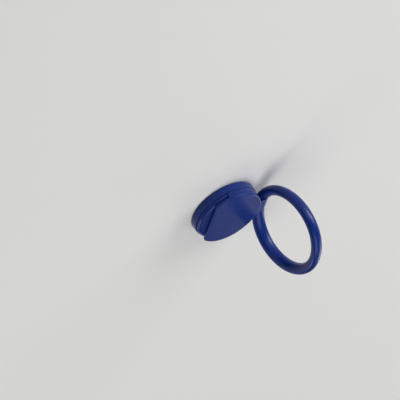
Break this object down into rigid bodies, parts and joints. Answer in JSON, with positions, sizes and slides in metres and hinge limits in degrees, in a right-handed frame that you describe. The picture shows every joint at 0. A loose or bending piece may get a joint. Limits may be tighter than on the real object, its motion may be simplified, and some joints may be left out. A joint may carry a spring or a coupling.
{
  "type": "phone ring holder",
  "caption": "Stick-on phone ring holder: a round cap swivels on an adhesive base disc, with a low terrace opposite its hinge and a fold-out finger ring that doubles as a stand.",
  "frame": {"origin": "centre of the adhesive face that sticks to the phone", "axes": "+Z away from the phone, +X from the swivel axis to the ring's hinge, +Y along the hinge axis"},
  "size_m": [0.0339, 0.034, 0.0347],
  "materials": {
    "blue_plastic": "satin-gloss moulded plastic",
    "adhesive_foam": "matte foam tape",
    "plated_steel": "bright zinc plating"
  },
  "bodies": {
    "base": {"adhesive_pad": "adhesive_foam", "base_disc": "blue_plastic"},
    "swivel": {"swivel_cap": "blue_plastic", "retaining_washer": "plated_steel", "pivot_screw": "plated_steel"},
    "ring": {"finger_ring": "blue_plastic"}
  },
  "joints": [
    {"name": "cap_swivel", "type": "hinge", "parent": "base", "child": "swivel", "pos_m": [0, 0, 0.003], "axis": [0, 0, 1], "continuous": true},
    {"name": "ring_fold", "type": "hinge", "parent": "swivel", "child": "ring", "pos_m": [0.01459, 0, 0.0034], "axis": [0, 1, 0], "range_deg": [-98.5, 81.5]}
  ]
}
